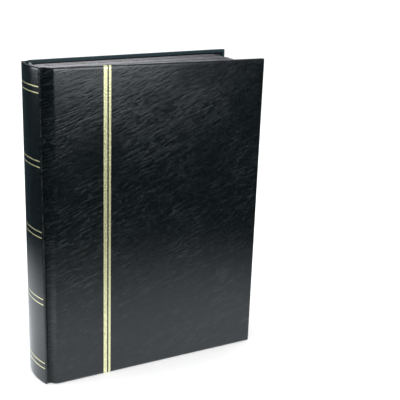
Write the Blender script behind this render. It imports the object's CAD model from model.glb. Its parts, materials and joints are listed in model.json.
"""A stamp album (a stockbook with black pages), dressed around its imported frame.

Metres, +Z up. The album stands on its tail: the spine is at -X and the front cover faces -Y.
Front pieces lie on the -Y side (side -1) and back pieces on the +Y side (side +1).
"""
import json
import math

import bmesh
import bpy
import numpy as np
from mathutils import Matrix, Vector, kdtree, noise


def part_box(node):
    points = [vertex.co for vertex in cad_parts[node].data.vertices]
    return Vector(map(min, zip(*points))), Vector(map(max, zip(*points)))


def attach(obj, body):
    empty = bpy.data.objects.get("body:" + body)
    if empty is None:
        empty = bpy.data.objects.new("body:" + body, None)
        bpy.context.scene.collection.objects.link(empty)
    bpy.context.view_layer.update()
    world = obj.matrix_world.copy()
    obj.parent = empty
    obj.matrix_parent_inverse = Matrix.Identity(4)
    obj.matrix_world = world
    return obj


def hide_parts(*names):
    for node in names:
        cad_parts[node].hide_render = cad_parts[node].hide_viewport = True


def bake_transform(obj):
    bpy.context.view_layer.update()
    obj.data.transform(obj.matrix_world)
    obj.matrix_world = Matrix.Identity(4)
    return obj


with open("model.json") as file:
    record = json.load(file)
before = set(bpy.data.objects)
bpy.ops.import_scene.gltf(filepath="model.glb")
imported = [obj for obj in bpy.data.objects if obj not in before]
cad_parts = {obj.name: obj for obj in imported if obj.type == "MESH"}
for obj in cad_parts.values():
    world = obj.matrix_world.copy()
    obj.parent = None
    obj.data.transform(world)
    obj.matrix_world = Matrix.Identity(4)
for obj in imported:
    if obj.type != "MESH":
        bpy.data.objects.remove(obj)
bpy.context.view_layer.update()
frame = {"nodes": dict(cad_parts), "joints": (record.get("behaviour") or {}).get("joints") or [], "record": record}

MM = 0.001
JOINTS = {joint["name"]: joint for joint in frame["joints"]}
SIDES = {"front": -1, "back": 1}

# ---- Sizes that the looks add to the frame ----
SKIN = 0.34 * MM  # leatherette
FACE_STEP = 1.8 * MM  # mesh step on the covers
GROOVE_STEP = 0.45 * MM  # mesh step in the groove between a cover and the spine
EDGE_ROUND = 1.25 * MM  # leatherette turned over a board's edge
TURN_IN = 12 * MM  # leatherette folded in behind a board
MATT_TURN_IN = 2 * MM  # the matt part of it
WORN_RINGS = (1, 2, 3)  # the rings of a fold that lie on an edge's turn, where it wears
GROOVE_DEPTH = 5.7 * MM  # below the cover's face
GROOVE_SLOPE = 2.5 * MM  # half the width of the slope from the groove to the cover's face
SLOPE_MIDDLE = -0.2 * MM  # places across the groove are measured from the cover's spine side
GROOVE_START = -6.1 * MM  # the leatherette starts here, under the spine's edge
LIFT_PLACE = -5.0 * MM  # from here to its start it rises by LIFT, over LIFT_LENGTH
LIFT = 1.4 * MM
LIFT_LENGTH = 1.3 * MM
GROOVE_FOLD = 0.9 * MM  # least depth of the fold at head and tail, below the leatherette
START_FOLD = 0.15  # the fold at the groove's start is this share of a full one
SHOULDER = 9 * MM  # beyond this distance the cover's face is flat
WAVE_HEIGHT = 0.025 * MM
WAVE_LENGTH = 70 * MM
WAVE_SEED = 8.1
WAVE_FADE = 6 * MM  # the waves die out over this distance before an edge
COVER_WAVES = 0.4  # places in the field of waves, in metres, so that no two pieces are alike
SPINE_WAVES = 1.3
FOIL_HEIGHT = 0.03 * MM
FOIL_STEP = 0.9 * MM
STRIP_COUNT = 9
STRIP_PITCH = 30 * MM
STRIP_HEIGHT = 33 * MM
FIRST_STRIP = 9 * MM  # from the page's tail to the lowest strip's foot
STRIP_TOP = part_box("leaf_01")[0].z + FIRST_STRIP + STRIP_HEIGHT  # the lowest strip's top edge
STRIP_EDGE = 1.1 * MM  # the darker welt along a strip's top

# ---- Camera, with the album's own axes ----
CAMERA_PLACE = Vector((-0.3730, -0.6925, 0.4178))
CAMERA_AZIMUTH = -32.58
CAMERA_ELEVATION = 17.71
CAMERA_ROLL = 2.14
CAMERA_LENS = 74.76


# ======== Shared helpers ========
def smoothstep(t):
    t = np.clip(t, 0, 1)
    return t * t * (3 - 2 * t)


def wobble(seed):
    """A fixed number between -1 and 1 for each seed."""
    return math.sin(12.9898 * seed + 4.1) * math.cos(7.233 * seed)


def add_object(name, data):
    made = bpy.data.objects.new(name, data)
    bpy.context.scene.collection.objects.link(made)
    return made


def mesh_object(name, points, faces, material, sharp_angle=35):
    """A piece from points and faces, with its faces turned outward and its double points merged."""
    mesh = bpy.data.meshes.new(name)
    mesh.from_pydata([tuple(p) for p in points], [], faces)
    work = bmesh.new()
    work.from_mesh(mesh)
    bmesh.ops.remove_doubles(work, verts=work.verts, dist=1e-6)
    bmesh.ops.recalc_face_normals(work, faces=work.faces)
    work.to_mesh(mesh)
    work.free()
    mesh.shade_smooth()
    mesh.set_sharp_from_angle(angle=math.radians(sharp_angle))
    mesh.materials.append(material)
    return add_object(name, mesh)


def solidify(piece, thickness):
    """Gives an open skin its thickness, inward from the face that shows."""
    modifier = piece.modifiers.new("thickness", "SOLIDIFY")
    modifier.thickness = thickness
    modifier.offset = -1
    bpy.context.view_layer.update()
    graph = bpy.context.evaluated_depsgraph_get()
    piece.data = bpy.data.meshes.new_from_object(piece.evaluated_get(graph))
    piece.modifiers.clear()


def fit(piece, slot, body=None, *nodes):
    """Puts a piece on its body, unless it is blended, and in the place of its CAD nodes."""
    if body:
        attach(piece, body)
    if nodes:
        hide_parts(*nodes)


def grid_faces(rows, columns, start=0):
    """Quads over a grid of rows x columns points, numbered row by row."""
    faces = []
    for row in range(rows - 1):
        for column in range(columns - 1):
            a = start + row * columns + column
            faces.append((a, a + 1, a + columns + 1, a + columns))
    return faces


def closed_sheet(name, front, back, material, sharp_angle=35):
    """A closed thin sheet between two grids of points, each of shape (rows, columns, 3)."""
    rows, columns = front.shape[:2]
    count = rows * columns
    points = np.concatenate([front.reshape(-1, 3), back.reshape(-1, 3)])
    faces = grid_faces(rows, columns)
    faces += [tuple(reversed(face)) for face in grid_faces(rows, columns, count)]
    border = border_loop(rows, columns)
    for a, b in zip(border, border[1:] + border[:1]):
        faces.append((a, a + count, b + count, b))
    return mesh_object(name, points, faces, material, sharp_angle)


def border_loop(rows, columns):
    """The border points of a grid, in order round it."""
    loop = list(range(columns))
    loop += [row * columns + columns - 1 for row in range(1, rows)]
    loop += [(rows - 1) * columns + column for column in range(columns - 2, -1, -1)]
    loop += [row * columns for row in range(rows - 2, 0, -1)]
    return loop


def prism_faces(count, start=0):
    """Faces of a closed prism: its first outline of count points, its second one, and the sides."""
    first = range(start, start + count)
    faces = [tuple(first), tuple(k + count for k in reversed(first))]
    for a in range(count):
        b = (a + 1) % count
        faces.append((start + a, start + b, start + b + count, start + a + count))
    return faces


def bezier(p0, p1, p2, p3, steps):
    t = np.linspace(0, 1, steps)[:, None]
    p0, p1, p2, p3 = (np.array(p, float) for p in (p0, p1, p2, p3))
    return (1 - t) ** 3 * p0 + 3 * (1 - t) ** 2 * t * p1 + 3 * (1 - t) * t**2 * p2 + t**3 * p3


def node_points(node):
    mesh = frame["nodes"][node].data
    points = np.zeros(len(mesh.vertices) * 3, np.float32)
    mesh.vertices.foreach_get("co", points)
    return points.reshape(-1, 3).astype(float)


class Hinged:
    """Axes of a part that turns about an upright hinge line.

    u runs away from the hinge line along the part, w runs outward (towards side * Y), z is height.
    """

    def __init__(self, joint, angle, side):
        self.origin = np.array(JOINTS[joint]["pos_m"], float)
        self.along = np.array((math.cos(angle), math.sin(angle), 0))
        self.out = side * np.array((-math.sin(angle), math.cos(angle), 0))

    def place(self, u, w, z):
        u, w, z = np.broadcast_arrays(u, w, z)
        points = self.origin + u[..., None] * self.along + w[..., None] * self.out
        points[..., 2] = z
        return points

    def box(self, node):
        """Lowest and highest (u, w, z) of a CAD node."""
        offsets = node_points(node) - self.origin
        local = np.stack([offsets @ self.along, offsets @ self.out, offsets[:, 2]], 1)
        return local.min(0), local.max(0)


def cover_axes(name):
    """A cover's closed position is the low end of its range, so that gives its angle at rest."""
    side = SIDES[name]
    joint = name + "_cover_hinge"
    axes = Hinged(joint, -side * math.radians(JOINTS[joint]["range_deg"][0]), side)
    axes.cover = name
    return axes


def leaf_axes(node, joint):
    """A leaf's angle at rest, from the root and the fore-edge of its solid."""
    points = node_points(node)
    low, high = points[:, 0].min(), points[:, 0].max()
    root = points[points[:, 0] < low + 1.5 * MM].mean(0)
    tip = points[points[:, 0] > high - 1.5 * MM].mean(0)
    return Hinged(joint, math.atan2(tip[1] - root[1], tip[0] - root[0]), 1)


# ======== Materials ========
class Nodes:
    """Short calls for building the nodes of a material, or of the world."""

    def __init__(self, name, world=False):
        self.made = (bpy.data.worlds if world else bpy.data.materials).new(name)
        self.made.use_nodes = True
        self.tree = self.made.node_tree
        self.surface = self.tree.nodes["Background" if world else "Principled BSDF"]
        self.output = self.tree.nodes["World Output" if world else "Material Output"]
        self.coordinates = self.node("ShaderNodeTexCoord")

    def node(self, kind, inputs=None, **settings):
        made = self.tree.nodes.new(kind)
        for key, value in settings.items():
            setattr(made, key, value)
        for key, value in (inputs or {}).items():
            self.set(made, key, value)
        return made

    def set(self, target, key, value):
        socket = target.inputs[key]
        if isinstance(value, bpy.types.NodeSocket):
            self.tree.links.new(value, socket)
        else:
            socket.default_value = value

    def mapped(self, stretch=(1, 1, 1), turn=(0, 0, 0)):
        """The place on the piece, for a texture that is first stretched and then turned."""
        made = self.node("ShaderNodeMapping", {
            "Vector": self.coordinates.outputs["Object"], "Scale": stretch,
            "Rotation": [math.radians(a) for a in turn]}, vector_type="TEXTURE")
        return made.outputs[0]

    def noise(self, vector, scale, detail=4, roughness=0.55, distortion=0.0):
        made = self.node("ShaderNodeTexNoise", {
            "Vector": vector, "Scale": scale, "Detail": detail,
            "Roughness": roughness, "Distortion": distortion})
        return made.outputs["Fac"]

    def voronoi(self, vector, scale):
        made = self.node("ShaderNodeTexVoronoi", {"Vector": vector, "Scale": scale})
        return made.outputs["Distance"]

    def wave(self, vector, scale, distortion=0.0, direction="X"):
        made = self.node("ShaderNodeTexWave", {
            "Vector": vector, "Scale": scale, "Distortion": distortion}, bands_direction=direction)
        return made.outputs["Fac"]

    def math(self, operation, *values):
        made = self.node("ShaderNodeMath", dict(enumerate(values)), operation=operation)
        return made.outputs[0]

    def times(self, a, b):
        return self.math("MULTIPLY", a, b)

    def plus(self, a, b):
        return self.math("ADD", a, b)

    def ramp(self, factor, stops):
        made = self.node("ShaderNodeValToRGB", {"Fac": factor})
        elements = made.color_ramp.elements
        while len(elements) < len(stops):
            elements.new(0.5)
        for element, (position, colour) in zip(elements, stops):
            element.position = position
            element.color = (*colour, 1)
        return made.outputs["Color"]

    def range(self, factor, low, high, to_low, to_high, kind="LINEAR"):
        made = self.node("ShaderNodeMapRange", {
            "Value": factor, "From Min": low, "From Max": high,
            "To Min": to_low, "To Max": to_high}, interpolation_type=kind)
        return made.outputs["Result"]

    def mix(self, factor, a, b):
        made = self.node("ShaderNodeMix", data_type="RGBA")
        for key, value in ((0, factor), (6, a), (7, b)):
            if not isinstance(value, bpy.types.NodeSocket) and key > 0:
                value = (*value, 1)
            self.set(made, key, value)
        return made.outputs[2]

    def axis(self, name, source="Object"):
        made = self.node("ShaderNodeSeparateXYZ", {"Vector": self.coordinates.outputs[source]})
        return made.outputs[name]

    def bump(self, height, distance, strength, under=None):
        made = self.node("ShaderNodeBump", {
            "Height": height, "Distance": distance, "Strength": strength})
        if under is not None:
            self.set(made, "Normal", under)
        return made.outputs["Normal"]

    def mark(self, name):
        """A value that is stored on the piece's mesh."""
        return self.node("ShaderNodeAttribute", attribute_name=name).outputs["Fac"]

    def mix_shaders(self, share, first, second):
        return self.node("ShaderNodeMixShader", {0: share, 1: first, 2: second}).outputs[0]

    def show(self, shader):
        self.set(self.output, "Surface", shader)
        return self.made

    def finish(self, **inputs):
        for key, value in inputs.items():
            self.set(self.surface, key.replace("_", " ").title().replace("Ior", "IOR"), value)
        return self.made


def crease_lines(n, scale, stretch, turn, width):
    """1 along thin wandering lines and 0 between them."""
    field = n.noise(n.mapped((stretch, stretch, 1), (0, turn, 0)), scale, detail=1)
    distance = n.math("ABSOLUTE", n.math("SUBTRACT", field, 0.5))
    return n.range(distance, 0.0, width, 1.0, 0.0, "SMOOTHSTEP")


def leatherette(name, crease_turn, crease_strength):
    """Black grained leatherette with fine creases that run one way, in clusters."""
    n = Nodes(name)
    plain = n.mapped()
    patches = n.noise(plain, 22, detail=2)
    creases = crease_lines(n, 360, 8, crease_turn, 0.085)
    finer = crease_lines(n, 600, 7, 1.25 * crease_turn, 0.1)
    ridge = n.math("MAXIMUM", creases, n.times(finer, 0.7))
    pebble = n.voronoi(plain, 800)
    grain = n.noise(plain, 420, roughness=0.75)
    normal = n.bump(pebble, 0.05 * MM, 0.45)
    normal = n.bump(grain, 0.06 * MM, 0.3, normal)
    strength = n.range(patches, 0.36, 0.62, 0.35 * crease_strength, crease_strength)
    normal = n.bump(ridge, 0.04 * MM, strength, normal)
    colour = n.ramp(grain, [(0.42, (0.0006, 0.0012, 0.0014)), (0.62, (0.0032, 0.0050, 0.0056))])
    rubbed = n.times(n.range(ridge, 0.6, 0.98, 0.0, 1.2), strength)
    colour = n.mix(rubbed, colour, (0.0160, 0.0200, 0.0205))
    worn = n.times(n.mark("edge_wear"), n.range(n.noise(plain, 260), 0.4, 0.75, 0.0, 0.5))
    colour = n.mix(worn, colour, (0.05, 0.055, 0.058))
    colour = n.mix(n.mark("turned_in"), colour, (0.020, 0.036, 0.042))
    rough = n.plus(n.range(grain, 0.3, 0.7, 0.13, 0.17), n.times(worn, 0.15))
    return n.finish(base_color=colour, roughness=rough, normal=normal,
                    specular_ior_level=n.range(n.mark("groove_depth"), 0.1, 0.8, 0.5, 0.24))


def gold_foil():
    """Stamped foil: half of it shines, and the grain below shows through as a mottle."""
    n = Nodes("gold_foil")
    plain = n.mapped()
    speckle = n.noise(plain, 700, detail=3)
    colour = n.ramp(speckle, [(0.32, (0.50, 0.48, 0.24)), (0.58, (0.80, 0.77, 0.46))])
    colour = n.mix(n.range(n.noise(plain, 60), 0.5, 0.8, 0.0, 0.3), colour, (0.90, 0.87, 0.58))
    rough = n.range(speckle, 0.3, 0.7, 0.32, 0.2)
    return n.finish(base_color=colour, metallic=0.72, roughness=rough,
                    normal=n.bump(speckle, 0.05 * MM, 0.5))


def greyboard():
    n = Nodes("greyboard")
    fibres = n.noise(n.mapped((1, 1, 0.2)), 500, detail=5)
    colour = n.ramp(fibres, [(0.3, (0.20, 0.19, 0.165)), (0.7, (0.32, 0.31, 0.28))])
    return n.finish(base_color=colour, roughness=0.92, normal=n.bump(fibres, 0.1 * MM, 0.6))


def black_endpaper():
    n = Nodes("black_endpaper")
    plain = n.mapped()
    fibres = n.noise(plain, 900, detail=5)
    cloud = n.noise(plain, 25)
    colour = n.ramp(cloud, [(0.3, (0.009, 0.010, 0.011)), (0.7, (0.015, 0.016, 0.017))])
    return n.finish(base_color=colour, roughness=n.range(cloud, 0.3, 0.7, 0.62, 0.74),
                    normal=n.bump(fibres, 0.05 * MM, 0.5))


def black_card():
    """Black page card: its faces are smooth and black, and its cut edges show a grey core."""
    n = Nodes("black_card")
    plain = n.mapped()
    fibres = n.noise(plain, 1100)
    cloud = n.noise(plain, 30)
    face = n.ramp(cloud, [(0.3, (0.0035, 0.0065, 0.0070)), (0.7, (0.0060, 0.0105, 0.0110))])
    core = n.ramp(fibres, [(0.35, (0.47, 0.46, 0.49)), (0.65, (0.64, 0.63, 0.67))])
    core = n.mix(n.range(n.axis("X"), -0.03, 0.09, 0.0, 0.8), core, (0.14, 0.14, 0.16))
    return n.finish(base_color=n.mix(n.mark("cut_edge"), face, core), roughness=0.7,
                    specular_ior_level=0.25, normal=n.bump(fibres, 0.04 * MM, 0.5))


def clear_film():
    """Clear film: see-through, with a sheen that grows at a glancing angle and a darker top edge."""
    n = Nodes("clear_film")
    ripple = n.noise(n.mapped((1, 1, 6)), 60, detail=2)
    n.finish(base_color=(0.03, 0.045, 0.045, 1), roughness=n.range(ripple, 0.3, 0.7, 0.12, 0.22),
             normal=n.bump(ripple, 0.5 * MM, 0.3))
    from_top = n.math("WRAP", n.axis("Z"), STRIP_TOP, STRIP_TOP - STRIP_PITCH)
    edge = n.math("GREATER_THAN", from_top, STRIP_TOP - STRIP_EDGE)
    clear = n.node("ShaderNodeBsdfTransparent", {
        "Color": n.mix(edge, (0.93, 0.97, 0.97), (0.52, 0.54, 0.54))})
    facing = n.node("ShaderNodeLayerWeight", {"Blend": 0.12}).outputs["Fresnel"]
    share = n.plus(facing, n.range(ripple, 0.3, 0.7, 0.02, 0.10))
    return n.show(n.mix_shaders(share, clear.outputs[0], n.surface.outputs[0]))


def glassine():
    """Thin translucent paper with a faint fibre pattern."""
    n = Nodes("glassine")
    plain = n.mapped()
    fibres = n.noise(plain, 350, detail=5)
    cloud = n.noise(plain, 18, detail=2)
    colour = n.ramp(cloud, [(0.3, (0.58, 0.64, 0.70)), (0.7, (0.68, 0.73, 0.78))])
    n.finish(base_color=colour, roughness=n.range(fibres, 0.3, 0.7, 0.3, 0.45),
             normal=n.bump(fibres, 0.05 * MM, 0.4))
    glow = n.node("ShaderNodeBsdfTranslucent", {"Color": colour})
    clear = n.node("ShaderNodeBsdfTransparent", {"Color": (0.95, 0.97, 1.0, 1)})
    paper = n.mix_shaders(0.35, n.surface.outputs[0], glow.outputs[0])
    return n.show(n.mix_shaders(n.range(fibres, 0.3, 0.7, 0.22, 0.34), paper, clear.outputs[0]))


def linen():
    n = Nodes("linen")
    warp = n.wave(n.mapped(), 900, 1.5, "X")
    weft = n.wave(n.mapped(), 900, 1.5, "Z")
    weave = n.math("MAXIMUM", warp, weft)
    colour = n.ramp(weave, [(0.2, (0.010, 0.011, 0.012)), (0.9, (0.035, 0.037, 0.04))])
    return n.finish(base_color=colour, roughness=0.85, normal=n.bump(weave, 0.12 * MM, 0.8))


def cotton_cord():
    """The ribbed cotton of the head and tail bands: pale threads with darker ones between them."""
    n = Nodes("cotton_cord")
    ribs = n.wave(n.mapped(), 420, 0.4, "Y")
    colour = n.ramp(ribs, [(0.15, (0.07, 0.07, 0.08)), (0.5, (0.24, 0.24, 0.25)),
                           (1, (0.36, 0.36, 0.37))])
    return n.finish(base_color=colour, roughness=0.8, normal=n.bump(ribs, 0.25 * MM, 0.9))


def inside(n, value, low, high):
    """1 where value lies between low and high."""
    return n.times(n.math("GREATER_THAN", value, low), n.math("LESS_THAN", value, high))


def wide_stamp_print():
    """A white-edged stamp with a green frame round a plain landscape."""
    n = Nodes("wide_stamp_print")
    x, z = n.axis("X", "Generated"), n.axis("Z", "Generated")
    plain = n.mapped()
    scenery = n.noise(plain, 110, detail=3, distortion=1.2)
    picture = n.ramp(z, [(0.12, (0.50, 0.44, 0.36)), (0.30, (0.42, 0.37, 0.30)),
                         (0.36, (0.03, 0.05, 0.03)), (0.60, (0.01, 0.025, 0.02))])
    blotch = n.times(n.math("GREATER_THAN", scenery, 0.53), inside(n, z, 0.16, 0.55))
    rust = n.ramp(n.noise(plain, 300), [(0.4, (0.16, 0.05, 0.02)), (0.6, (0.6, 0.52, 0.42))])
    picture = n.mix(blotch, picture, rust)
    in_width = inside(n, x, 0.075, 0.925)
    in_picture = n.times(inside(n, z, 0.12, 0.64), in_width)
    in_frame = n.times(inside(n, z, 0.03, 0.97), in_width)
    green = n.ramp(n.noise(plain, 500), [(0.3, (0.03, 0.33, 0.03)), (0.7, (0.06, 0.45, 0.05))])
    colour = n.mix(in_frame, (0.80, 0.81, 0.78), green)
    colour = n.mix(in_picture, colour, picture)
    return n.finish(base_color=colour, roughness=0.5)


def small_stamp_print(name, hatch_turn, low, high):
    """A pale stamp with one engraved, hatched panel."""
    n = Nodes(name)
    x, z = n.axis("X", "Generated"), n.axis("Z", "Generated")
    hatch = n.wave(n.mapped(turn=hatch_turn), 420, 3.0, "Z")
    shade = n.noise(n.mapped(), 170, detail=3, distortion=0.8)
    lines = n.times(hatch, shade)
    ink = n.ramp(lines, [(0.16, (0.03, 0.04, 0.04)), (0.36, (0.55, 0.60, 0.59))])
    panel = n.times(inside(n, x, low[0], high[0]), inside(n, z, low[1], high[1]))
    paper = n.ramp(n.noise(n.mapped(), 900), [(0.3, (0.56, 0.59, 0.59)), (0.7, (0.68, 0.70, 0.69))])
    return n.finish(base_color=n.mix(panel, paper, ink), roughness=0.6)


MATERIALS = {
    "cover": leatherette("cover_leatherette", -22, 0.64),
    "spine": leatherette("spine_leatherette", -8, 0.25),
    "gold_foil": gold_foil(),
    "greyboard": greyboard(),
    "black_endpaper": black_endpaper(),
    "black_card": black_card(),
    "clear_film": clear_film(),
    "glassine": glassine(),
    "linen": linen(),
    "cotton_cord": cotton_cord(),
}


# ======== Leatherette skins ========
def wave_field(u, z):
    """Height of the board's slow waves under the leatherette, at one place on a cover."""
    return WAVE_HEIGHT * noise.noise(Vector((u / WAVE_LENGTH, 0.7 * z / WAVE_LENGTH, WAVE_SEED)))


def rounded_rings(radius, depth, turn_in):
    """(outset, share of the depth, turn-in) of the rings that fold a skin's border over and back under."""
    rings = []
    for angle in np.radians((18, 36, 54, 72, 90)):
        rings.append((radius * math.sin(angle), radius * (1 - math.cos(angle)) / depth, 0))
    under = 0.5 * radius
    for angle in np.radians((0, 30, 60, 90)):
        outset = radius - under * (1 - math.cos(angle))
        rings.append((outset, 1 - under * (1 - math.sin(angle)) / depth, 0))
    for share in (0.1, 0.2, 1):
        rings.append((0, 1, share * turn_in))
    return rings


def folded_skin(name, a, z, rings, surface, height, depth, material, first_side=1.0):
    """A skin over a rectangle, folded over its edges.

    a and z are the grid lines of the face, and surface(a, depth, z) gives points. height(a, z) is the face's
    relief, and depth(relief) is how deep the fold reaches there. first_side scales the fold at the first a,
    and where it is below 1 the skin is a cover's, which shows its matt turn-in along the fore-edge too.
    """
    rows, columns = len(z), len(a)
    grid_a, grid_z = np.meshgrid(a, z)
    relief = np.array([[height(x, y) for x in a] for y in z])
    points = [surface(grid_a, -relief, grid_z).reshape(-1, 3)]
    sunk = np.maximum(-relief.ravel() / GROOVE_DEPTH, 0)
    marks = {"edge_wear": [0 * sunk], "turned_in": [0 * sunk], "groove_depth": [sunk]}
    faces = grid_faces(rows, columns)
    border = border_loop(rows, columns)
    flat_a, flat_z, top = grid_a.ravel()[border], grid_z.ravel()[border], -relief.ravel()[border]
    out_a = np.where(flat_a <= a[0], -first_side, np.where(flat_a >= a[-1], 1.0, 0.0))
    out_z = np.where(flat_z <= z[0], -1.0, np.where(flat_z >= z[-1], 1.0, 0.0))
    corner = np.where((out_a != 0) & (out_z != 0), 0.8, 1.0)
    matt_border = (out_z != 0) | ((out_a > 0) & (first_side < 1))
    previous = border
    for number, (outset, share, turn_in) in enumerate(rings):
        inset = turn_in - outset
        first_limit = a[0] + first_side * turn_in - outset
        ring_a = np.clip(flat_a + out_a * corner * outset, first_limit, a[-1] - inset)
        ring_z = np.clip(flat_z + out_z * corner * outset, z[0] + inset, z[-1] - inset)
        points.append(surface(ring_a, top + (depth(top) - top) * share, ring_z))
        matt = matt_border & (share > 0.9) & (turn_in < MATT_TURN_IN)
        marks["edge_wear"].append(np.full(len(border), float(number in WORN_RINGS)))
        marks["turned_in"].append(matt.astype(float))
        marks["groove_depth"].append(sunk[border])
        start = rows * columns + number * len(border)
        ring = list(range(start, start + len(border)))
        for index in range(len(border)):
            after = (index + 1) % len(border)
            faces.append((previous[index], previous[after], ring[after], ring[index]))
        previous = ring
    points = np.concatenate(points)
    skin = mesh_object(name, points, faces, material, 60)
    paint(skin, points, marks)
    return skin


def paint(skin, points, marks):
    """Stores each mark's value for each point on the mesh, which has lost its double points."""
    tree = kdtree.KDTree(len(points))
    for index, point in enumerate(points):
        tree.insert(point, index)
    tree.balance()
    nearest = [tree.find(vertex.co)[1] for vertex in skin.data.vertices]
    for mark, values in marks.items():
        attribute = skin.data.attributes.new(mark, "FLOAT", "POINT")
        attribute.data.foreach_set("value", np.concatenate(values)[nearest])


def steps_between(low, high, step):
    return np.linspace(low, high, max(2, round((high - low) / step) + 1))


def groove(a):
    """Depth of the leatherette below the cover's face, at a distance from the cover's spine side."""
    slope = 0.5 * GROOVE_DEPTH * (1 - math.tanh((a - SLOPE_MIDDLE) / GROOVE_SLOPE))
    return slope - LIFT * float(smoothstep((LIFT_PLACE - a) / LIFT_LENGTH))


def cover_grid(axes):
    """Grid lines of a cover's leatherette, from the groove to the fore-edge and from tail to head."""
    low, high = axes.box(axes.cover + "_cover_leather")
    near = steps_between(low[0] + GROOVE_START, low[0] + SHOULDER, GROOVE_STEP)
    far = steps_between(low[0] + SHOULDER, high[0] - EDGE_ROUND, FACE_STEP)
    z = steps_between(low[2] + EDGE_ROUND, high[2] - EDGE_ROUND, FACE_STEP)
    return np.concatenate([near[:-1], far]), z


def cover_relief(axes):
    """Height of a cover's face above its flat level: slow waves, and the groove along the spine."""
    u, z = cover_grid(axes)
    start = axes.box(axes.cover + "_cover_leather")[0][0]
    shift = COVER_WAVES * SIDES[axes.cover]

    def height(a, b):
        return wave_field(a + shift, b) * edge_fade(a, b, u, z) - groove(a - start)
    return height


def cover_leather(name, axes):
    """One sheet from the groove over the whole cover, so it bends with the joint and has no seam."""
    low, high = axes.box(name + "_cover_leather")
    thickness = high[1] - low[1]
    u, z = cover_grid(axes)
    rings = rounded_rings(EDGE_ROUND, thickness, TURN_IN)
    skin = folded_skin(
        name + "_cover_leatherette", u, z, rings,
        lambda along, depth, height: axes.place(along, high[1] - depth, height), cover_relief(axes),
        lambda top: np.maximum(thickness, top + GROOVE_FOLD), MATERIALS["cover"], START_FOLD)
    solidify(skin, SKIN)
    start = axes.place(u[0], low[1], 0)
    end = axes.place(low[0] + 0.2 * MM, low[1], 0)
    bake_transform(skin)
    fit(skin, "leatherette", None, name + "_cover_leather", name + "_joint_leather")


def cover_board(name, axes):
    """The stiff board in a cover, bevelled along its spine side so that the leatherette can slope there."""
    node = name + "_cover_board"
    low, high = axes.box(node)
    start = axes.box(name + "_cover_leather")[0][0]
    bevel = [(u, high[1] - groove(u - start)) for u in np.linspace(low[0], low[0] + SHOULDER, 9)]
    outline = np.array([(low[0], low[1]), *bevel, (high[0], high[1]), (high[0], low[1])])
    points = np.concatenate([axes.place(outline[:, 0], outline[:, 1], z) for z in (low[2], high[2])])
    board = mesh_object(node + "_bevelled", points, prism_faces(len(outline)), MATERIALS["greyboard"])
    fit(board, "greyboard", name + "_cover", node)


def edge_fade(a, b, u, z):
    """The relief dies out over the last few millimetres before an edge."""
    margin = min(a - u[0], u[-1] - a, b - z[0], z[-1] - b)
    return float(smoothstep(0.3 + margin / WAVE_FADE))


SPINE_ROUND = 0.9 * MM  # leatherette turned over the spine's edges
SPINE_STEP = 1.6 * MM  # mesh step round the spine
SPINE_FOLD = 1.75 * MM  # depth of the fold at its edges
SPINE_TURN_IN = 2 * MM


class SpineArc:
    """The round back, from the box of its leather."""

    def __init__(self):
        low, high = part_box("spine_leather")
        points = node_points("spine_leather")
        self.half_chord = (high.y - low.y) / 2
        bulge = points[points[:, 1] > high.y - 0.05 * MM][:, 0].min() - low.x
        self.radius = (self.half_chord**2 + bulge**2) / (2 * bulge)
        self.centre_x = low.x + self.radius
        self.height = high.z
        self.half_arc = self.radius * math.asin(self.half_chord / self.radius)

    def surface(self, a, depth, z):
        """Points from the distance round the arc, the depth below it and the height."""
        a, depth, z = np.broadcast_arrays(a, depth, z)
        angle = a / self.radius
        reach = self.radius - depth
        return np.stack([self.centre_x - reach * np.cos(angle), reach * np.sin(angle), z], -1)


def spine_relief(spine):
    a, z = spine_grid(spine)
    return lambda u, h: 0.6 * wave_field(u + SPINE_WAVES, h) * edge_fade(u, h, a, z)


def spine_grid(spine):
    reach = spine.half_arc - SPINE_ROUND
    a = steps_between(-reach, reach, SPINE_STEP)
    return a, steps_between(SPINE_ROUND, spine.height - SPINE_ROUND, FACE_STEP)


def spine_leather(spine):
    a, z = spine_grid(spine)
    rings = rounded_rings(SPINE_ROUND, SPINE_FOLD, SPINE_TURN_IN)
    skin = folded_skin("spine_leatherette", a, z, rings, spine.surface, spine_relief(spine),
                       lambda top: np.full(np.shape(top), SPINE_FOLD), MATERIALS["spine"])
    solidify(skin, SKIN)
    fit(skin, "leatherette", "binding", "spine_leather")


def upright_strip(name, outline, thickness, z, material):
    """A closed strip whose plan is a curve: outline holds (x, y) points, and it thickens to one side."""
    outline = np.array(outline)
    tangent = np.gradient(outline, axis=0)
    tangent /= np.linalg.norm(tangent, axis=1)[:, None]
    normal = np.stack([-tangent[:, 1], tangent[:, 0]], 1)
    front = np.zeros((len(z), len(outline), 3))
    back = front.copy()
    front[..., :2] = outline
    back[..., :2] = outline + normal * thickness
    front[..., 2] = back[..., 2] = np.array(z)[:, None]
    return closed_sheet(name, front, back, material)


HINGE_CLOTH = 0.1 * MM
HINGE_ROOT = 3 * MM  # from the backs of the guards to the place where the cloth leaves them
HINGE_BEND = 4.2 * MM  # from a cover's hinge line to the place where the cloth meets the cover
HINGE_REACH = 12 * MM


def inner_hinge(name, axes):
    """Black cloth from the sewn guards to the inside of a cover."""
    side = SIDES[name]
    low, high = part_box("sewn_guards")
    inner_face = axes.box(name + "_pastedown")[0][1] - 0.12 * MM
    start = np.array((low.x + HINGE_ROOT, side * (high.y + HINGE_CLOTH)))
    bend = axes.place(HINGE_BEND, inner_face, 0)[:2]
    end = axes.place(HINGE_REACH, inner_face, 0)[:2]
    outline = bezier(start, (start[0] + 2 * MM, start[1]), bend, end, 13)
    z = steps_between(5 * MM, high.z - 1 * MM, 20 * MM)
    strip = upright_strip(name + "_inner_hinge", outline, -side * HINGE_CLOTH, z, MATERIALS["linen"])
    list(bend)
    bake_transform(strip)
    fit(strip, "linen")


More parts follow.
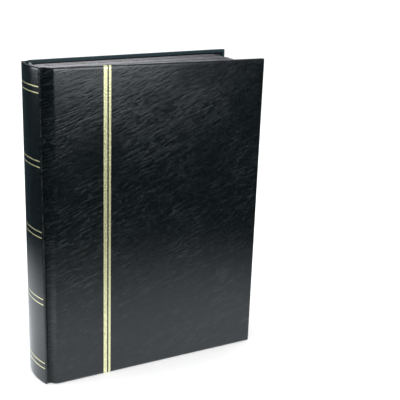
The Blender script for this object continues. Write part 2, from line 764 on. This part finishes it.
# ======== Gold foil ========
def foil_on_cover(axes, node):
    """A foil stripe that follows the cover's relief and folds over its head and tail."""
    low, high = axes.box(node)
    leather_low, leather_high = axes.box("front_cover_leather")
    thickness = leather_high[1] - leather_low[1]
    relief = cover_relief(axes)
    u = steps_between(low[0], high[0], FOIL_STEP)
    z_lines = cover_grid(axes)[1]
    path = [(z, 0.0, z, 0) for z in z_lines]
    head, tail = [], []
    for outset, share, _ in rounded_rings(EDGE_ROUND, thickness, 0)[:6]:
        head.append((z_lines[-1] + outset, share, z_lines[-1], 1))
        tail.append((z_lines[0] - outset, share, z_lines[0], -1))
    front, back = [], []
    for z, share, flat_z, end in tail[::-1] + path + head:
        level = np.array([relief(a, flat_z) for a in u])
        top = leather_high[1] + level - (thickness + level) * share
        turned = min(1.0, share * thickness / EDGE_ROUND)
        lift = FOIL_HEIGHT * math.cos(turned * math.pi / 2)
        reach = FOIL_HEIGHT * end * math.sin(turned * math.pi / 2)
        front.append(axes.place(u, top + lift, z + reach))
        back.append(axes.place(u, top - 2 * lift, z - 2 * reach))
    stripe = closed_sheet(node + "_foil", np.array(front), np.array(back), MATERIALS["gold_foil"], 60)
    fit(stripe, "gold_foil", "front_cover", node)


SPINE_LINE_PAIRS = 5
SPINE_PAIR_PITCH = 66.6 * MM
SPINE_LINE_GAP = 5.5 * MM
SPINE_LINE_WIDTH = 0.95 * MM
SPINE_LINE_MARGIN = 1.8 * MM  # bare leather between a line's end and the spine's edge
SPINE_LINE_STEP = 1.2 * MM
SPINE_LINE_RISE = 0.05 * MM
SPINE_LINE_ROOT = 0.08 * MM  # how deep its closed underside lies in the leather


def spine_lines(spine):
    """Five pairs of thin foil lines stamped round the back."""
    reach = spine.half_arc - SPINE_LINE_MARGIN
    a = steps_between(-reach, reach, SPINE_LINE_STEP)
    height = spine_relief(spine)
    for pair in range(SPINE_LINE_PAIRS):
        middle = spine.height / 2 + (pair - (SPINE_LINE_PAIRS - 1) / 2) * SPINE_PAIR_PITCH
        for line, side in (("lower", -1), ("upper", 1)):
            z = middle + side * SPINE_LINE_GAP / 2
            levels = np.array((z - SPINE_LINE_WIDTH / 2, z, z + SPINE_LINE_WIDTH / 2))
            relief = np.array([[height(x, h) for x in a] for h in levels])
            grid_a, grid_z = np.meshgrid(a, levels)
            front = spine.surface(grid_a, -relief - SPINE_LINE_RISE, grid_z)
            back = spine.surface(grid_a, -relief + SPINE_LINE_ROOT, grid_z)
            foil = closed_sheet(f"spine_line_{pair + 1}_{line}", front, back, MATERIALS["gold_foil"])
            fit(foil, "gold_foil", "binding")


# ======== Pages ========
CARD = 0.56 * MM
GLASSINE = 0.07 * MM
GUTTER = 14 * MM  # the soft part of a page, next to its root
ROOT_PINCH = 0.15  # the sewn roots lie closer together than the pages
ROOT_START = 0.8 * MM  # a page starts this far from its hinge line
BEND_START = 1 * MM  # and from here to its stiff part it bends when it turns
PAGE_CORNER = 2 * MM
PAGE_WAVE = 0.06 * MM
PAGE_WAVE_LENGTH = 31 * MM
WAVE_RISE = 60 * MM  # a page's wave grows over this distance past its gutter
PAGE_SEED = 1.7
HEAD_UNEVEN = 0.25 * MM  # how much the pages' heads and fore-edges differ
EDGE_UNEVEN = 0.5 * MM


def page_grid(axes, offset, start, length, bottom, top, thickness, pinch, seed):
    """Front and back grids of one page-like sheet, from its root to its fore-edge."""
    bend = np.linspace(start, GUTTER, 9)
    flat = np.linspace(GUTTER, length - PAGE_CORNER, 10)[1:]
    round_steps = np.radians((30, 60, 80, 90))
    corner = length - PAGE_CORNER * (1 - np.sin(round_steps))
    u = np.concatenate([bend, flat, corner])
    inset = np.concatenate([np.zeros(len(bend) + len(flat)), PAGE_CORNER * (1 - np.cos(round_steps))])
    share = np.linspace(0, 1, 9)[:, None]
    z = bottom + inset + share * (top - bottom - 2 * inset)
    root = 1 - smoothstep(u / GUTTER)
    wave = PAGE_WAVE * np.sin(u / PAGE_WAVE_LENGTH + seed) * smoothstep((u - GUTTER) / WAVE_RISE)
    wave = wave * np.cos(3.1 * share + seed)
    middle = offset + pinch * root + wave
    u, z, middle = np.broadcast_arrays(u, z, middle)
    return axes.place(u, middle - thickness / 2, z), axes.place(u, middle + thickness / 2, z)


def mark_cut_edges(piece):
    """Marks the faces of a page's thickness, which show its core."""
    values = [float(abs(face.normal.z) > 0.6 or abs(face.normal.x) > 0.7)
              for face in piece.data.polygons]
    attribute = piece.data.attributes.new("cut_edge", "FLOAT", "FACE")
    attribute.data.foreach_set("value", values)


class Leaf:
    """One leaf's axes and its page's limits, from its CAD solid."""

    def __init__(self, number, node, body):
        self.number, self.body = number, body
        self.axes = leaf_axes(node, body + "_turn")
        low, high = self.axes.box(node)
        self.start, self.length = low[0], high[0]
        self.bottom, self.top = low[2], high[2]
        self.middle = (low[1] + high[1]) / 2
        self.thickness = min(CARD, high[1] - low[1])
        self.root_y = self.axes.place(0, self.middle, 0)[1]

    def sheet(self, name, offset, thickness, material, trim=0.0):
        """A sheet of the page's outline, trimmed a little, at an offset from the page's middle."""
        top = self.top - trim + HEAD_UNEVEN * wobble(self.number)
        length = self.length - trim + EDGE_UNEVEN * wobble(self.number + 40)
        front, back = page_grid(self.axes, self.middle + offset, ROOT_START, length, self.bottom + trim,
                                top, thickness, -ROOT_PINCH * self.root_y, PAGE_SEED * self.number)
        piece = closed_sheet(name, front, back, material)
        start, end = self.axes.place(BEND_START, 0, 0), self.axes.place(self.start, 0, 0)
        tuple(start)
        tuple(end)
        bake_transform(piece)
        return piece


STRIP_UNEVEN = 0.3 * MM
STRIP_FILM = 0.04 * MM
STRIP_GLUE = 0.01 * MM
STRIP_FOOT = 1.5 * MM  # height of the part that is glued down
STRIP_MARGIN = 7 * MM  # from a strip's end to the fore-edge
STRIP_GUTTER = 11 * MM  # from the stiff part of the page to the strips
FOOT_DEPTH = 0.04 * MM  # behind the film, at the strip's foot and at its top
TOP_DEPTH = 0.08 * MM
GLASSINE_GAP = 0.07 * MM  # from the strips' film to the middle of a glassine sheet
GLASSINE_TRIM = 0.8 * MM
SHOWN_TRIM = 0.5 * MM
SHOWN_NUMBER = 50  # the shown sheet counts as this leaf where pages vary


def add_strips(leaf, sides):
    """Clear strips on a page: each is glued along its foot and leans out over the strip above."""
    points, faces = [], []
    ends = (leaf.start + STRIP_GUTTER, leaf.length - STRIP_MARGIN)
    for side in sides:
        face_w = leaf.middle + side * leaf.thickness / 2
        for level in range(STRIP_COUNT):
            foot = leaf.bottom + FIRST_STRIP + level * STRIP_PITCH
            top = foot + STRIP_HEIGHT + STRIP_UNEVEN * wobble(leaf.number * 20 + level)
            profile = [(STRIP_GLUE, foot), (FOOT_DEPTH + STRIP_FILM, foot), (TOP_DEPTH + STRIP_FILM, top),
                       (TOP_DEPTH, top), (FOOT_DEPTH, foot + STRIP_FOOT), (STRIP_GLUE, foot + STRIP_FOOT)]
            faces += prism_faces(len(profile), len(points))
            for u in ends:
                points += [leaf.axes.place(u, face_w + side * d, h) for d, h in profile]
    strips = mesh_object(f"leaf_{leaf.number:02d}_clear_strips", points, faces, MATERIALS["clear_film"])
    fit(strips, "clear_film", leaf.body)


def leaf_nodes():
    return sorted(node for node in frame["nodes"] if node.startswith("leaf_"))


def add_leaves():
    """Every page card with its clear strips, and a glassine sheet beside it.

    The two pages that face each other where the stamps are have the shown sheet between them instead.
    """
    nodes = leaf_nodes()
    bodies = frame["record"]["behaviour"]["bodies"]
    front_count = sum(1 for node in nodes if JOINTS[node + "_turn"]["axis"][2] < 0)
    for number, node in enumerate(nodes, 1):
        leaf = Leaf(number, node, node)
        has_stamps = any(piece.startswith("clear_strip") for piece in bodies[node])
        card = leaf.sheet(f"{node}_card", 0.0, leaf.thickness, MATERIALS["black_card"])
        mark_cut_edges(card)
        fit(card, "black_card", None, node)
        add_strips(leaf, (1,) if has_stamps else (-1, 1))
        if has_stamps or number == front_count:
            continue
        side = 1 if number <= front_count else -1
        offset = side * (CARD / 2 + TOP_DEPTH + STRIP_FILM + GLASSINE_GAP)
        name = f"glassine_{number:02d}"
        sheet = leaf.sheet(name, offset, GLASSINE, MATERIALS["glassine"], GLASSINE_TRIM)
        fit(sheet, "glassine")


def shown_interleaf():
    """The glassine sheet in front of the leaf with the stamps."""
    leaf = Leaf(SHOWN_NUMBER, "glassine_interleaf", "interleaf")
    sheet = leaf.sheet("glassine_shown", 0.0, GLASSINE, MATERIALS["glassine"], SHOWN_TRIM)
    fit(sheet, "glassine", None, "glassine_interleaf")


# ======== Sewing ========
GUARD_BACK = 0.9 * MM  # from the back of the guards' CAD solid to the middle fold
GUARD_SHORT = 3 * MM  # a fold is this much shorter than that solid is deep
GUARD_END = 0.6 * MM
BACK_BOW = 2.4 * MM  # the outer folds lie this much further in than the middle one
LINING = 0.25 * MM
LINING_BACK = 0.55 * MM


def back_bow(y, half_width):
    return BACK_BOW * (y / half_width) ** 2


def sewn_guards():
    """Folded linen guards, one round each root."""
    low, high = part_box("sewn_guards")
    points, faces = [], []
    depth = high.x - low.x - GUARD_SHORT
    for number, node in enumerate(leaf_nodes(), 1):
        y = Leaf(number, node, node).root_y * (1 - ROOT_PINCH)
        bow = back_bow(y, high.y)
        outline = guard_fold(low.x + GUARD_BACK + bow, y, depth - bow)
        faces += prism_faces(len(outline), len(points))
        for level in (low.z + GUARD_END, high.z - GUARD_END):
            points += [(*corner, level) for corner in outline]
    guards = mesh_object("sewn_guard_folds", points, faces, MATERIALS["linen"])
    fit(guards, "linen", "binding", "sewn_guards")


def guard_fold(x, y, depth, half=0.5 * MM, cloth=0.2 * MM):
    """Plan of one folded guard: a narrow U that is open towards the pages."""
    angles = np.radians(np.linspace(90, 270, 7))
    outer = [(x + half + half * math.cos(t), y + half * math.sin(t)) for t in angles]
    inner_half = half - cloth
    inner = [(x + half + inner_half * math.cos(t), y + inner_half * math.sin(t)) for t in angles[::-1]]
    mouth = x + depth
    return [(mouth, y + half), *outer, (mouth, y - half), (mouth, y - inner_half), *inner,
            (mouth, y + inner_half)]


def spine_lining():
    """Cloth glued over the backs of the folds, bowed as they are."""
    low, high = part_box("sewn_guards")
    y = np.linspace(-high.y, high.y, 21)
    outline = np.stack([low.x + LINING_BACK + back_bow(y, high.y), y], 1)
    z = steps_between(low.z + 3 * MM, high.z - 3 * MM, 30 * MM)
    lining = upright_strip("spine_lining", outline, LINING, z, MATERIALS["linen"])
    fit(lining, "linen", "binding")


# ======== Stamps ========
PERFORATION = 1.6 * MM  # distance between the holes on a stamp's edge
STAMP_PAPER = 0.07 * MM


def perforated_outline(width, height):
    """A rectangle's outline with half-round bites along its sides, from (0, 0) in X and Z."""
    radius = 0.32 * PERFORATION
    points = []
    corners = [(0, 0), (width, 0), (width, height), (0, height)]
    for start, end in zip(corners, corners[1:] + corners[:1]):
        start, end = np.array(start, float), np.array(end, float)
        length = np.linalg.norm(end - start)
        along = (end - start) / length
        inward = np.array((-along[1], along[0]))
        count = round(length / PERFORATION)
        points.append(start)
        for bite in range(count):
            centre = start + along * length * (bite + 0.5) / count
            for angle in np.radians((180, 135, 90, 45, 0)):
                points.append(centre + radius * (along * math.cos(angle) + inward * math.sin(angle)))
    return np.array(points)


def add_stamp(node, material):
    """A perforated stamp in the place of its plain CAD solid, leaning with its strip."""
    points = node_points(node)
    low, high = points.min(0), points.max(0)
    bottom = points[points[:, 2] < low[2] + 0.3 * MM].mean(0)
    top = points[points[:, 2] > high[2] - 0.3 * MM].mean(0)
    left = points[points[:, 0] < low[0] + 0.1 * MM].mean(0)
    right = points[points[:, 0] > high[0] - 0.1 * MM].mean(0)
    width, _, height = high - low
    up, along = (top - bottom) / height, (right - left) / width
    outline = perforated_outline(width, height)
    corner = bottom - along * width / 2
    corner[2] = low[2]
    flat = corner + outline[:, :1] * along + outline[:, 1:] * up
    half_paper = np.array((0, STAMP_PAPER / 2, 0))
    stamp_points = np.concatenate([flat - half_paper, flat + half_paper])
    stamp = mesh_object(node + "_print", stamp_points, prism_faces(len(flat)), material)
    fit(stamp, "stamp_paper", node, node)


# ======== CAD nodes that stay ========
def dress_cad_nodes():
    looks = {
        "greyboard": ("spine_board",),
        "black_endpaper": ("front_pastedown", "back_pastedown"),
        "cotton_cord": ("headband", "tailband"),
        "clear_film": [n for n in frame["nodes"] if n.startswith("clear_strip_")],
    }
    for look, nodes in looks.items():
        for node in nodes:
            mesh = frame["nodes"][node].data
            mesh.materials.clear()
            mesh.materials.append(MATERIALS[look])
            if look == "cotton_cord":
                mesh.shade_smooth()


# ======== Stage ========
FLOOR_SIZE = 30
FLOOR_DROP = 0.2 * MM  # keeps the floor just below the album's tail
FOOTPRINT = (0.115, 0.037)  # half of the album's length and thickness
BRIGHT_FLOOR = (0.04, 0.38)  # the floor's reflection fades between these distances from the album
FAR_FLOOR = (1.9, 2.35)  # past these distances it brightens again, below the panels
PANELS = (  # light panels that only reflections see: direction, half width in degrees, brightness
    ((0.225, -0.974), 8.5, 6.4),
    ((-0.80, 0.60), 10, 4.6),
    ((0.55, 0.83), 17, 2.4),
)
DARK_ROOM = (0.040, 0.062, 0.076)
LIGHT_TINT = (0.95, 1.0, 1.05)
WALL_GLOW = 0.13
CEILING_GLOW = 1.2
SOFTBOXES = {  # place, size and power of each lamp
    "key_softbox": ((0.75, -2.1, 0.75), (1.0, 0.8), 18),
    "top_softbox": ((-0.3, 0.2, 2.2), (1.8, 1.8), 26),
    "left_softbox": ((-2.0, -0.6, 0.9), (1.0, 1.2), 14),
}
LAMP_TARGET = (0, 0, 0.15)


def panel_glow(n, x, y):
    """How bright the panels are in the direction of a horizontal vector."""
    length = n.math("SQRT", n.plus(n.times(x, x), n.times(y, y)))
    total = 0.0
    for (panel_x, panel_y), width, brightness in PANELS:
        along = n.plus(n.times(x, panel_x), n.times(y, panel_y))
        cosine = n.math("DIVIDE", along, length)
        outer, inner = math.cos(math.radians(1.6 * width)), math.cos(math.radians(0.4 * width))
        total = n.plus(total, n.range(cosine, outer, inner, 0, brightness, "SMOOTHSTEP"))
    return total


def glow_colour(n, brightness):
    """The dark room's colour with a brightness of soft white light added to it."""
    light = n.node("ShaderNodeVectorMath", {0: LIGHT_TINT}, operation="SCALE")
    n.set(light, "Scale", brightness)
    return n.node("ShaderNodeVectorMath", {0: light.outputs[0], 1: DARK_ROOM}, operation="ADD").outputs[0]


def floor_material():
    """A white floor. Reflections see it bright near the album and dark further off, as under studio lamps."""
    n = Nodes("floor")
    place = n.node("ShaderNodeNewGeometry").outputs["Position"]
    parts = n.node("ShaderNodeSeparateXYZ", {"Vector": place})
    x, y = parts.outputs["X"], parts.outputs["Y"]
    beyond = []
    for coordinate, half in zip((x, y), FOOTPRINT):
        outside = n.math("MAXIMUM", n.math("SUBTRACT", n.math("ABSOLUTE", coordinate), half), 0.0)
        beyond.append(n.times(outside, outside))
    distance = n.math("SQRT", n.plus(*beyond))
    left_lamp = n.range(x, -0.26, -0.10, 2.0, 1.2, "SMOOTHSTEP")
    near = n.times(left_lamp, n.range(distance, *BRIGHT_FLOOR, 1.0, 0.0, "SMOOTHSTEP"))
    far = n.range(distance, *FAR_FLOOR, 0.0, 1.0, "SMOOTHSTEP")
    glow = n.plus(near, n.times(far, panel_glow(n, x, y)))
    shine = n.node("ShaderNodeEmission", {"Color": glow_colour(n, glow)})
    path = n.node("ShaderNodeLightPath").outputs["Is Glossy Ray"]
    mottle = n.ramp(n.noise(place, 3), [(0.3, (0.94, 0.94, 0.94)), (0.7, (0.96, 0.96, 0.96))])
    n.finish(base_color=mottle, roughness=0.9, specular_ior_level=0.1)
    return n.show(n.mix_shaders(path, n.surface.outputs[0], shine.outputs[0]))


def add_floor():
    bpy.ops.mesh.primitive_plane_add(size=FLOOR_SIZE, location=(0, 0, -FLOOR_DROP))
    floor = bpy.context.object
    floor.name = "floor"
    floor.data.materials.append(floor_material())


def add_world():
    """Even white light all round. Reflections see a dark room with light panels and a bright ceiling."""
    n = Nodes("studio", world=True)
    parts = n.node("ShaderNodeSeparateXYZ", {"Vector": n.coordinates.outputs["Generated"]})
    x, y, z = (parts.outputs[key] for key in "XYZ")
    panels = n.times(n.range(z, 0.02, 0.12, 1.0, 0.0, "SMOOTHSTEP"), panel_glow(n, x, y))
    upper_walls = n.range(z, 0.12, 0.32, 0.0, WALL_GLOW, "SMOOTHSTEP")
    ceiling = n.range(z, 0.6, 0.9, 0.0, CEILING_GLOW, "SMOOTHSTEP")
    glow = n.plus(panels, n.plus(upper_walls, ceiling))
    path = n.node("ShaderNodeLightPath").outputs["Is Glossy Ray"]
    n.set(n.surface, "Color", n.mix(path, (1.0, 1.0, 1.0), glow_colour(n, glow)))
    n.set(n.surface, "Strength", 1.05)
    bpy.context.scene.world = n.made


def add_lights():
    for name, (place, size, power) in SOFTBOXES.items():
        light = bpy.data.lights.new(name, "AREA")
        light.shape = "RECTANGLE"
        light.size, light.size_y = size
        light.energy = power
        lamp = add_object(name, light)
        lamp.location = place
        lamp.rotation_euler = (Vector(LAMP_TARGET) - Vector(place)).to_track_quat("-Z", "Y").to_euler()
        lamp.visible_glossy = False


def add_camera():
    azimuth, elevation = math.radians(CAMERA_AZIMUTH), math.radians(CAMERA_ELEVATION)
    back = Vector((math.sin(azimuth) * math.cos(elevation),
                   -math.cos(azimuth) * math.cos(elevation), math.sin(elevation)))
    level = Vector((math.cos(azimuth), math.sin(azimuth), 0))
    upward = back.cross(level)
    roll = math.radians(CAMERA_ROLL)
    right = level * math.cos(roll) + upward * math.sin(roll)
    up = upward * math.cos(roll) - level * math.sin(roll)
    camera_data = bpy.data.cameras.new("camera")
    camera_data.lens = CAMERA_LENS
    camera_data.clip_start, camera_data.clip_end = 0.01, 100
    camera = add_object("camera", camera_data)
    turn = Matrix((right, up, back)).transposed()
    camera.matrix_world = Matrix.Translation(CAMERA_PLACE) @ turn.to_4x4()
    bpy.context.scene.camera = camera


def set_picture_tone():
    view = bpy.context.scene.view_settings
    view.view_transform, view.look = "Standard", "None"


# ======== Build ========
spine_arc = SpineArc()
for cover_name in SIDES:
    cover = cover_axes(cover_name)
    cover_board(cover_name, cover)
    cover_leather(cover_name, cover)
    inner_hinge(cover_name, cover)
spine_leather(spine_arc)
spine_lines(spine_arc)
foil_on_cover(cover_axes("front"), "gold_stripe_wide")
foil_on_cover(cover_axes("front"), "gold_stripe_narrow")
add_leaves()
shown_interleaf()
sewn_guards()
spine_lining()
add_stamp("stamp_wide", wide_stamp_print())
add_stamp("stamp_left", small_stamp_print("left_stamp_print", (0, 35, 0), (0.12, 0.10), (0.88, 0.90)))
add_stamp("stamp_right", small_stamp_print("right_stamp_print", (0, 80, 0), (0.10, 0.12), (0.90, 0.90)))
dress_cad_nodes()
add_floor()
add_world()
add_lights()
add_camera()
set_picture_tone()
